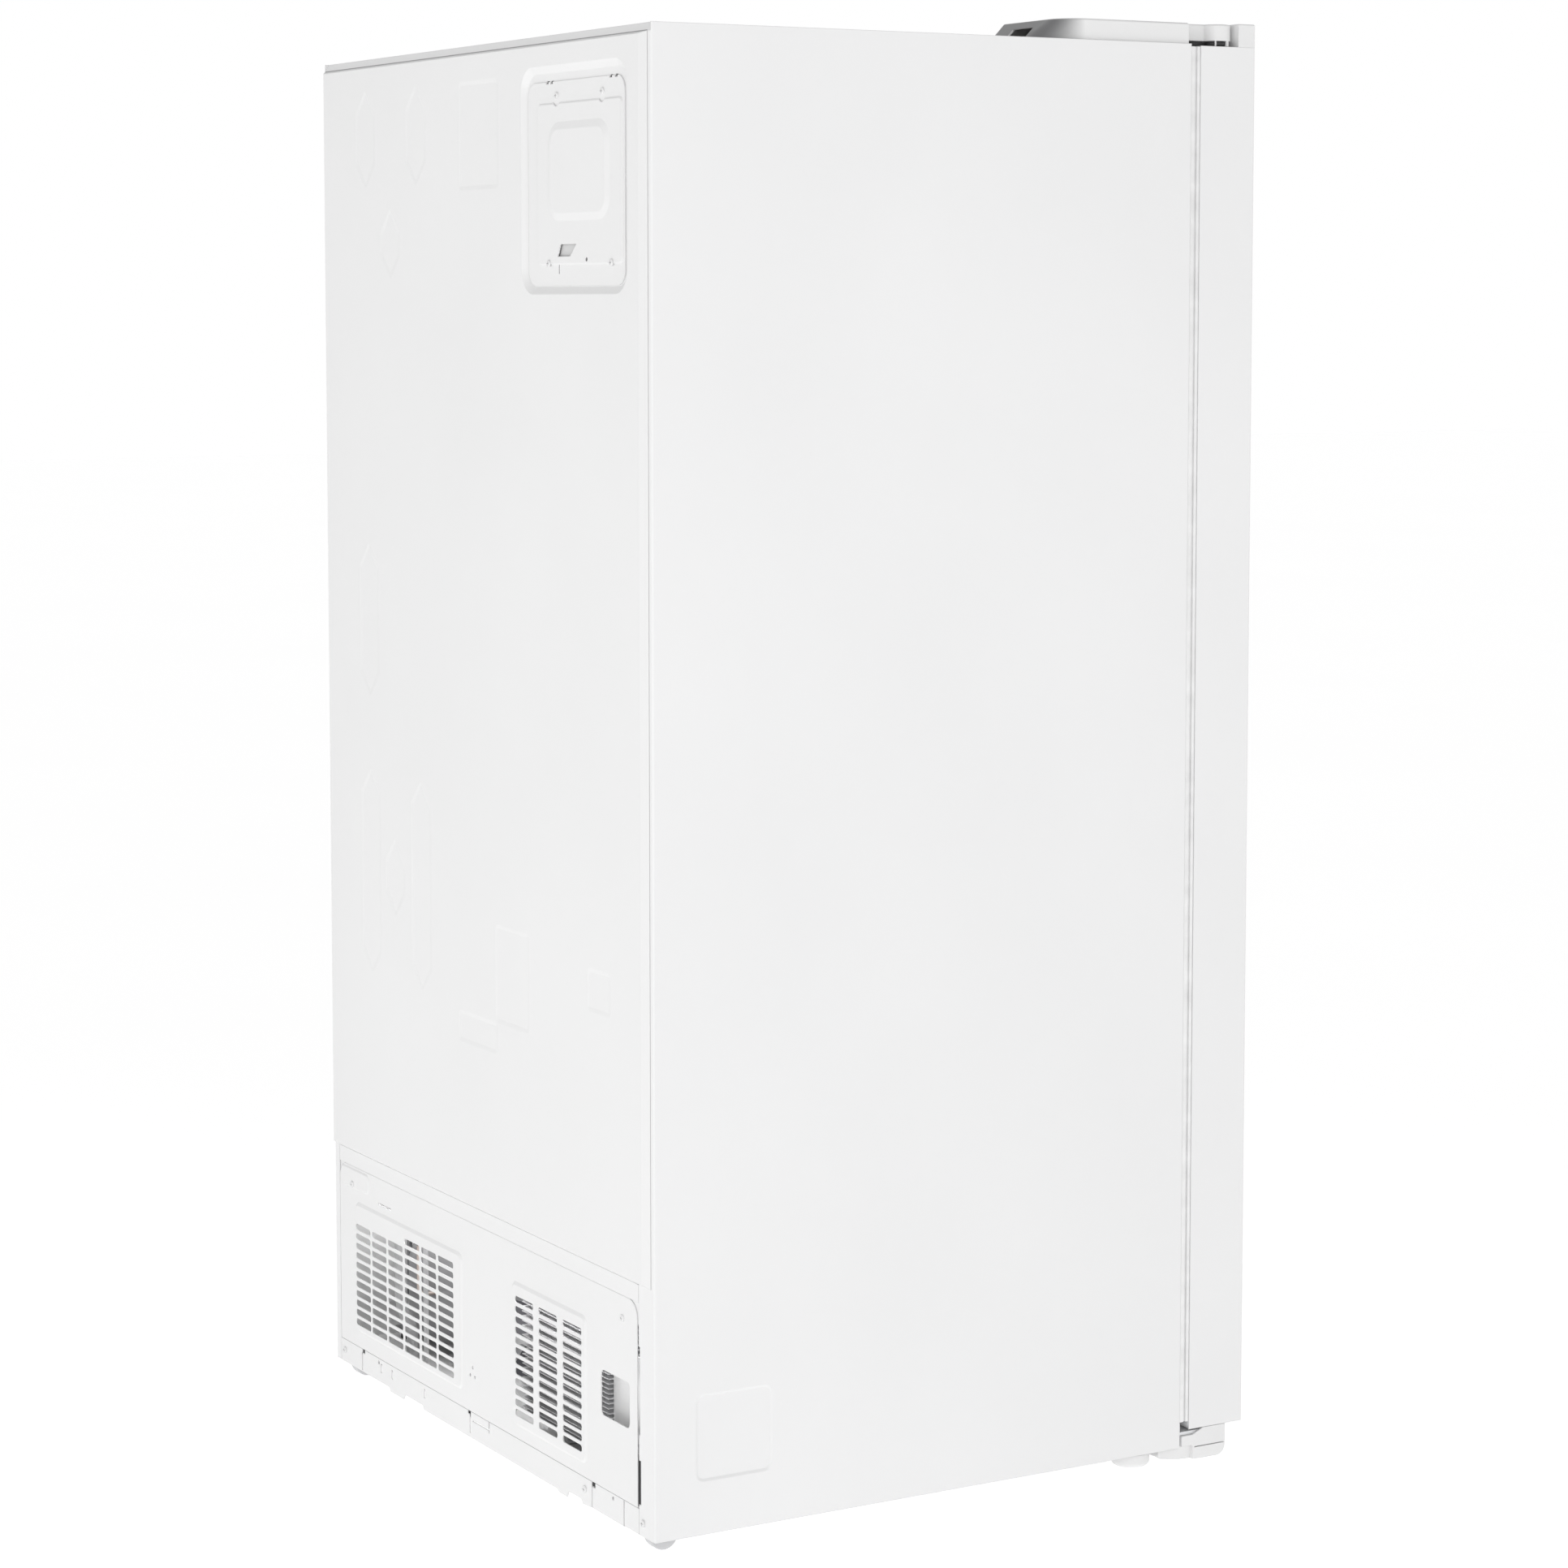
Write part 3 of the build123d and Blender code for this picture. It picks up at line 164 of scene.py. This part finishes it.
def moulded(name, color, roughness):
    """Injection-moulded plastic with a fine spark-eroded grain."""
    shader = Shader(name, color, roughness).soften(0.0008)
    shader.mottle(9.0, 0.02).rough(40.0, roughness - 0.06, roughness + 0.08)
    return shader.bump(1500.0, 0.00006, 0.6).bump(30.0, 0.0002, 0.15).material


def hinge_moulding_painted_shade():
    """White moulding with painted shade: dark grey on the rearward faces of its rear end, where shade falls.
    """
    fade_start, fade_end = -0.26, -0.2      # metres along Y, in the frame
    shader = Shader("hinge_moulding_painted_shade", MOULDING_WHITE, 0.4).soften(0.0008)
    rearward = shader.axis(shader.facing, "Y")
    rear_end = shader.nodes.new("ShaderNodeMapRange")
    rear_end.inputs["From Min"].default_value = fade_start
    rear_end.inputs["From Max"].default_value = fade_end
    shader.links.new(shader.axis(shader.place, "Y"), rear_end.inputs["Value"])
    painted_shade_mask = shader.nodes.new("ShaderNodeMath")
    painted_shade_mask.operation = "MULTIPLY"
    shader.links.new(rearward, painted_shade_mask.inputs[0])
    shader.links.new(rear_end.outputs["Result"], painted_shade_mask.inputs[1])
    # Painted shade: the base colour turns dark grey on rearward faces of the rear end
    painted_shade = shader.ramp(painted_shade_mask.outputs["Value"], MOULDING_WHITE, PAINTED_SHADE_GREY, 0.15, 0.85)
    shader.links.new(painted_shade, shader.bsdf.inputs["Base Color"])
    shader.rough(40.0, 0.34, 0.5)
    return shader.bump(1500.0, 0.00005, 0.5).material


def metal(name, color, roughness, stretch=(1, 1, 1)):
    shader = Shader(name, color, roughness, Metallic=1.0)
    shader.mottle(35.0, 0.08).rough(60.0, roughness - 0.08, roughness + 0.12)
    return shader.bump(500.0, 0.00004, 0.5, stretch).material


def galvanised_steel():
    """Light coated sheet with a spangle."""
    shader = Shader("galvanised_steel", (0.78, 0.79, 0.8), 0.45, Metallic=0.35)
    cells = shader.nodes.new("ShaderNodeTexVoronoi")
    cells.inputs["Scale"].default_value = 120.0
    shader.links.new(shader.place, cells.inputs["Vector"])
    shader.links.new(shader.ramp(cells.outputs["Color"], (0.7, 0.71, 0.72), (0.84, 0.85, 0.86), 0, 1),
                     shader.bsdf.inputs["Base Color"])
    shader.rough(90.0, 0.35, 0.55)
    return shader.bump(300.0, 0.00003, 0.4).material


def foam_material():
    shader = Shader("polyurethane_foam", (0.86, 0.78, 0.55), 0.95)
    shader.mottle(60.0, 0.1)
    return shader.bump(900.0, 0.0006, 0.9).bump(120.0, 0.001, 0.4).material


def clear_plastic():
    shader = Shader("clear_polystyrene", (0.93, 0.97, 0.99), 0.12, Transmission_Weight=0.75, IOR=1.5,
                    Specular_IOR_Level=0.5)
    shader.mottle(5.0, 0.01).rough(25.0, 0.08, 0.2)
    return shader.bump(60.0, 0.0001, 0.15).material


def shelf_glass():
    shader = Shader("tempered_glass", (0.86, 0.96, 0.93), 0.03, Transmission_Weight=0.9, IOR=1.52)
    shader.mottle(4.0, 0.01).rough(12.0, 0.02, 0.06)
    return shader.bump(8.0, 0.0002, 0.1).material


def circuit_board():
    shader = Shader("circuit_board", (0.05, 0.2, 0.09), 0.45)
    shader.mottle(300.0, 0.3)
    return shader.bump(700.0, 0.0002, 0.5, (1, 1, 3)).material


def liner_plastic():
    """Vacuum-formed high-impact polystyrene, smooth and slightly wavy."""
    shader = Shader("liner_plastic", (0.87, 0.885, 0.895), 0.28)
    shader.mottle(5.0, 0.012).rough(18.0, 0.22, 0.36)
    return shader.bump(12.0, 0.0005, 0.15).bump(260.0, 0.00003, 0.5).material


def rubber(name, color, roughness=0.6):
    shader = Shader(name, color, roughness, Specular_IOR_Level=0.35)
    shader.mottle(40.0, 0.06).rough(80.0, roughness - 0.1, roughness + 0.1)
    return shader.bump(1200.0, 0.00008, 0.6).material


MATERIALS = {
    "case": paint("case_paint", CASE_WHITE, 0.42),
    "rear": paint("rear_sheet_paint", SHEET_WHITE, 0.5, 0.00003),
    "trim": moulded("white_moulding", MOULDING_WHITE, 0.5),
    "grey_trim": moulded("grey_moulding", (0.32, 0.32, 0.33), 0.5),
    "steel": galvanised_steel(),
    "foam": foam_material(),
    "liner": liner_plastic(),
    "light_trim": moulded("light_grey_moulding", (0.66, 0.66, 0.66), 0.55),
    "tube": moulded("drain_tube_plastic", (0.42, 0.42, 0.425), 0.5),
    "gasket": rubber("gasket_vinyl", SHEET_WHITE, 0.5),
    "hinge_cover": hinge_moulding_painted_shade(),
    "clear": clear_plastic(),
    "glass": shelf_glass(),
    "wire": paint("wire_coating", (0.85, 0.85, 0.86), 0.3),
    "compressor": paint("compressor_paint", (0.26, 0.26, 0.265), 0.45, 0.00008),
    "black_rubber": rubber("black_rubber", (0.04, 0.04, 0.042)),
    "roller": moulded("roller_plastic", (0.6, 0.6, 0.61), 0.5),
    "fins": metal("fin_aluminium", (0.86, 0.87, 0.88), 0.45, (1, 1, 8)),
    "coated_fins": moulded("coated_fins", (0.74, 0.74, 0.75), 0.5),
    "pipe": metal("dull_copper_pipe", (0.6, 0.52, 0.48), 0.45),
    "dark_moulding": moulded("dark_moulding", (0.1, 0.1, 0.11), 0.5),
    "board": circuit_board(),
    # Grey for the rear panel's top bead: painted shade in that joint
    "seam_shade": rubber("painted_seam_shade", (0.33, 0.33, 0.335), 0.6),
    # Painted shade: the top hinges are near-black to stand in for the deep shade under the cover tongues
    "hinge_shade_black": paint("hinge_painted_shade_black", (0.02, 0.02, 0.021), 0.5),
}
NODE_MATERIALS = {
    "case": ["side_panel_left", "side_panel_right", "top_panel", "front_frame", "freezer_door_skin",
             "fridge_door_skin"],
    "rear": ["rear_panel", "machine_cover", "control_cover", "rear_screws", "base_frame", "compartment_deck"],
    "steel": ["bottom_hinges"],
    # Near-black top hinges: painted shade in the gap under the hinge covers
    "hinge_shade_black": ["top_hinges"],
    "foam": ["cabinet_foam", "freezer_door_foam", "fridge_door_foam"],
    "liner": ["freezer_liner", "fridge_liner", "freezer_door_liner", "fridge_door_liner", "air_duct",
              "evaporator_cover", "fridge_shelf_frames", "ice_maker"],
    "hinge_cover": ["top_hinge_covers"],
    "trim": ["freezer_door_caps", "fridge_door_caps", "bottom_hinge_covers", "kick_grille",
             "levelling_leg_left", "levelling_leg_right", "control_box", "fan_shroud", "water_valve"],
    "grey_trim": ["freezer_door_handle", "fridge_door_handle"],
    "gasket": ["freezer_door_gasket", "fridge_door_gasket"],
    "clear": ["freezer_door_bins", "fridge_door_bins", "freezer_drawer_upper", "freezer_drawer_lower",
              "crisper_upper", "crisper_lower", "ice_bucket", "interior_lamps"],
    "glass": ["fridge_shelves"],
    "wire": ["freezer_shelves"],
    "compressor": ["compressor"],
    "black_rubber": ["compressor_grommets"],
    "roller": ["rear_roller_left", "rear_roller_right"],
    "fins": ["evaporator"],
    "coated_fins": ["condenser"],
    "pipe": ["refrigerant_lines"],
    "dark_moulding": ["condenser_fan", "evaporator_fan", "drain_pan"],
    "board": ["control_board"],
}


def give_material(thing, key):
    thing.data.materials.clear()
    thing.data.materials.append(MATERIALS[key])


for key, names in NODE_MATERIALS.items():
    for name in names:
        give_material(NODES[name], key)


# ---------------------------------------------------------------- pieces
def add_piece(name, shape, key, body="cabinet"):
    """Turn a filled bmesh, in millimetres, into a smooth piece fixed to a body."""
    bmesh.ops.scale(shape, vec=(MM, MM, MM), verts=shape.verts)
    bmesh.ops.recalc_face_normals(shape, faces=shape.faces)
    mesh = bpy.data.meshes.new(name)
    shape.to_mesh(mesh)
    shape.free()
    mesh.polygons.foreach_set("use_smooth", [True] * len(mesh.polygons))
    mesh.set_sharp_from_angle(angle=math.radians(40))
    thing = bpy.data.objects.new(name, mesh)
    bpy.context.scene.collection.objects.link(thing)
    give_material(thing, key)
    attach(thing, body)


def rounded(points, bend):
    """Route through the points with its corners rounded to about the bend radius."""
    steps = 7
    points = [Vector(point) for point in points]
    route = [points[0]]
    for before, corner, after in zip(points, points[1:], points[2:]):
        back, ahead = (before - corner), (after - corner)
        reach = min(bend, back.length * 0.49, ahead.length * 0.49)
        start, end = corner + back.normalized() * reach, corner + ahead.normalized() * reach
        for step in range(steps + 1):
            t = step / steps
            route.append(start.lerp(corner, t).lerp(corner.lerp(end, t), t))
    return route + [points[-1]]


def add_tube(shape, points, radius, bend=12.0, sides=12):
    """Closed round tube along a rounded route."""
    route = rounded(points, bend)
    across = (route[1] - route[0]).orthogonal().normalized()
    rings = []
    for index, place in enumerate(route):
        ahead = route[min(index + 1, len(route) - 1)] - route[max(index - 1, 0)]
        ahead.normalize()
        across = (across - ahead * across.dot(ahead)).normalized()
        up = ahead.cross(across)
        turns = [2 * math.pi * k / sides for k in range(sides)]
        spokes = [across * math.cos(turn) + up * math.sin(turn) for turn in turns]
        rings.append([shape.verts.new(place + radius * spoke) for spoke in spokes])
    for near, far in zip(rings, rings[1:]):
        for k in range(sides):
            j = (k + 1) % sides
            shape.faces.new((near[k], near[j], far[j], far[k]))
    shape.faces.new(rings[0])
    shape.faces.new(reversed(rings[-1]))


def add_block(shape, x, y, z, soft):
    """Box between (low, high) pairs, with its edges rounded by soft."""
    made = bmesh.ops.create_cube(shape, size=1.0)["verts"]
    middle = Vector(((x[0] + x[1]) / 2, (y[0] + y[1]) / 2, (z[0] + z[1]) / 2))
    bmesh.ops.scale(shape, vec=(x[1] - x[0], y[1] - y[0], z[1] - z[0]), verts=made)
    bmesh.ops.translate(shape, vec=middle, verts=made)
    edges = list({edge for vert in made for edge in vert.link_edges})
    bmesh.ops.bevel(shape, geom=edges, offset=soft, segments=3, profile=0.5, affect="EDGES")


def millimetres(node):
    """Low and high corner of a CAD node in millimetres."""
    low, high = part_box(node)
    return Vector(low) / MM, Vector(high) / MM


def joint_beads():
    """Grey bead over the rear panel's top edge, painted shade for the shadow line in that joint, and pale
    beads in the joints above the machine cover.
    """
    low, high = millimetres("rear_panel")
    rear = millimetres("side_panel_left")[1].y
    top = high.z + 0.3
    shape = bmesh.new()
    add_tube(shape, [(low.x + 1, rear, top), (high.x - 2, rear, top)], radius=0.45, sides=6)
    # Painted shade: the grey bead darkens the joint along the rear panel's top edge
    add_piece("rear_panel_top_shade_bead", shape, "seam_shade")
    cover_low, cover_high = millimetres("machine_cover")
    gap = 0.25
    for name, z, inset in (("lower", cover_high.z + gap, 18), ("upper", low.z - gap, 0)):
        shape = bmesh.new()
        ends = [(cover_low.x + inset, rear - 0.6, z), (cover_high.x - inset, rear - 0.6, z)]
        add_tube(shape, ends, radius=0.5, sides=8)
        add_piece(f"cover_joint_bead_{name}", shape, "gasket")


def painted_shade_strips():
    """Black strips behind the notch of the left rear flange and behind the rail's three square slots: painted
    shade seen through them.
    """
    cover_low = millimetres("machine_cover")[0]
    rear = millimetres("side_panel_left")[1].y
    depth = (rear - 6, rear - 1.6)
    slot_half_width = 7
    shape = bmesh.new()
    notch_x, notch_z = (cover_low.x - 12, cover_low.x + 4), (cover_low.z + 1, cover_low.z + 60)
    add_block(shape, notch_x, depth, notch_z, soft=1)
    for x in RAIL_SLOTS_X:
        add_block(shape, (x - slot_half_width, x + slot_half_width), depth, RAIL_SLOTS_Z, soft=1)
    # Painted shade: black strips where only shade would show through the notch and slots
    add_piece("painted_shade_strips", shape, "black_rubber")


def door_gap_lips():
    """Pale lips along the hinge side of each door's gap: one on the case, and a stepped one on the door."""
    case_front = millimetres("front_frame")[0].y
    half = -millimetres("side_panel_left")[0].x
    for side, door in ((-1, "freezer"), (1, "fridge")):
        low, high = millimetres(f"{door}_door_skin")
        z = (low.z + 10, high.z - 1)
        lip = bmesh.new()
        across = sorted((side * (half - 3), side * (half - 0.7)))
        add_block(lip, across, (case_front - 6.5, case_front - 0.3), z, soft=0.8)
        add_piece(f"{door}_case_lip", lip, "gasket")
        lip = bmesh.new()
        for inset, depth in ((0.8, (high.y + 0.1, high.y + 4.5)), (3.5, (high.y + 2, high.y + 9.5))):
            across = sorted((side * (half - 7), side * (half - inset)))
            add_block(lip, across, depth, z, soft=0.8)
        add_piece(f"{door}_door_lip", lip, "gasket", f"{door}_door")


def control_window_plate():
    """Pale plate close behind the cable window of the control cover."""
    y = millimetres("control_cover")[0].y
    shape = bmesh.new()
    add_block(shape, CABLE_WINDOW_X, (y - 4, y - 0.4), CABLE_WINDOW_Z, soft=0.3)
    add_piece("control_window_plate", shape, "light_trim")


def hinge_fittings():
    """Cable plug with three short leads inside each hinge cover, and two posts under its tongue."""
    top = millimetres("side_panel_left")[1].z
    for side, name in ((-1, "left"), (1, "right")):
        # The leads come first: what is added after a bevelled block is stored in an order that changes by run.
        plug = bmesh.new()
        for x in HINGE_LEADS_X:
            lead = [(side * x, -150, top + 8), (side * x, -135, top + 7), (side * (x - 8), -128, top + 3)]
            add_tube(plug, lead, radius=1.5, bend=6, sides=8)
        across = sorted(side * x for x in HINGE_PLUG_X)
        add_block(plug, across, HINGE_PLUG_Y, (top + 1, top + 14), soft=2.5)
        add_piece(f"hinge_plug_{name}", plug, "grey_trim")
        posts = bmesh.new()
        for y, radius in HINGE_POSTS:
            x = side * HINGE_POST_X
            add_tube(posts, [(x, y, top - 1.2), (x, y, top + 8)], radius)
        add_piece(f"hinge_posts_{name}", posts, "trim")


def drain_tube():
    """Rigid defrost drain tube and a thinner one, from the machine compartment's roof to the base plate."""
    roof, floor = millimetres("compartment_deck")[1].z - 20, millimetres("fan_shroud")[0].z
    y = millimetres("machine_cover")[0].y - 22
    x, kink = DRAIN_TUBE_X, 16
    route = [(x, y, roof), (x, y, 120), (x, y - kink, 90), (x, y - kink, floor)]
    shape = bmesh.new()
    add_tube(shape, route, radius=8, bend=20, sides=20)
    add_tube(shape, [(THIN_TUBE_X, y, roof), (THIN_TUBE_X, y, floor)], radius=3.5, sides=12)
    add_piece("drain_tube", shape, "tube")


def process_tube():
    """Pinched-off charging tube of the compressor."""
    low, high = millimetres("compressor")
    x, y = (low.x + high.x) / 2 - 40, (low.y + high.y) / 2
    start, tip, outlet = 140, 205, y + 98
    shape = bmesh.new()
    add_tube(shape, [(x, y + 70, start), (x, outlet, start), (x, outlet, tip)], radius=3, bend=10)
    add_piece("process_tube", shape, "pipe")


def condenser_bends():
    """Return bends that join the condenser's tubes above and below its fins."""
    low, high = millimetres("condenser")
    shape = bmesh.new()
    for column in range(CONDENSER_COLUMNS):
        x = low.x + 27 + column * CONDENSER_COLUMN_PITCH
        for z, turn in ((high.z - 1, 15), (low.z + 1, -15)):
            near, far = low.y + 16, low.y + 46
            bend = [(x, near, z), (x, near, z + turn), (x, far, z + turn), (x, far, z)]
            add_tube(shape, bend, radius=4, bend=14.5)
    add_piece("condenser_bends", shape, "coated_fins")


joint_beads()
painted_shade_strips()
door_gap_lips()
control_window_plate()
hinge_fittings()
drain_tube()
process_tube()
condenser_bends()


# ---------------------------------------------------------------- stage, light and camera
def make_floor():
    """Plain white floor, out to the horizon, and a little self-lit to match the surroundings."""
    mesh = bpy.data.meshes.new("floor")
    half = 30.0
    corners = [(-half, -half, 0), (half, -half, 0), (half, half, 0), (-half, half, 0)]
    mesh.from_pydata(corners, [], [(0, 1, 2, 3)])
    floor = bpy.data.objects.new("floor", mesh)
    bpy.context.scene.collection.objects.link(floor)
    shader = Shader("floor_white", STUDIO_WHITE, 0.9, Specular_IOR_Level=0.1, Emission_Strength=0.47,
                    Emission_Color=(1, 1, 1, 1))
    mesh.materials.append(shader.mottle(0.8, 0.005).bump(40.0, 0.0002, 0.1).material)


def area_light(name, place, target, size, power):
    """Rectangular light at a place in metres, aimed at a target, with its power in watts."""
    data = bpy.data.lights.new(name, "AREA")
    data.shape = "RECTANGLE"
    data.size, data.size_y = size
    data.energy = power
    lamp = bpy.data.objects.new(name, data)
    lamp.location = place
    lamp.rotation_euler = (Vector(target) - Vector(place)).to_track_quat("-Z", "Y").to_euler()
    bpy.context.scene.collection.objects.link(lamp)


def make_world():
    """White studio surroundings, a little darker overhead."""
    world = bpy.data.worlds.new("studio")
    bpy.context.scene.world = world
    world.use_nodes = True
    nodes, links = world.node_tree.nodes, world.node_tree.links
    coordinates = nodes.new("ShaderNodeTexCoord")
    split = nodes.new("ShaderNodeSeparateXYZ")
    ramp = nodes.new("ShaderNodeValToRGB")
    for stop, height, grey in zip(ramp.color_ramp.elements, (0.15, 0.8), (1, 0.4)):
        stop.position = height
        stop.color = (grey, grey, grey, 1)
    links.new(coordinates.outputs["Generated"], split.inputs["Vector"])
    links.new(split.outputs["Z"], ramp.inputs["Fac"])
    links.new(ramp.outputs["Color"], nodes["Background"].inputs["Color"])
    nodes["Background"].inputs["Strength"].default_value = 1.0


def make_camera():
    data = bpy.data.cameras.new("camera")
    data.sensor_width = 36.0
    data.lens = CAMERA_LENS
    data.shift_x, data.shift_y = CAMERA_SHIFT
    camera = bpy.data.objects.new("camera", data)
    camera.location = CAMERA_PLACE
    level = math.cos(CAMERA_DIP)
    look = Vector((math.sin(CAMERA_TURN) * level, -math.cos(CAMERA_TURN) * level, -math.sin(CAMERA_DIP)))
    camera.rotation_euler = look.to_track_quat("-Z", "Y").to_euler()
    bpy.context.scene.collection.objects.link(camera)
    bpy.context.scene.camera = camera


make_camera()
make_world()
make_floor()
area_light("left_softbox", place=(-3.4, 1.0, 1.4), target=(-0.456, 0.2, 1.1), size=(1.4, 1.4), power=15)
area_light("low_rear_fill", place=(-0.6, 3.2, 0.5), target=(0, 0.4, 0.5), size=(2.5, 1.0), power=10.5)
area_light("machine_compartment_roof", place=(0, 0.2, 0.28), target=(0, 0.3, 0.1),
           size=(0.8, 0.1), power=1.1)
area_light("machine_compartment_rear", place=(0, 0.412, 0.288), target=(0, 0.35, 0.05),
           size=(0.8, 0.012), power=0.35)
bpy.context.scene.view_settings.view_transform = "Standard"
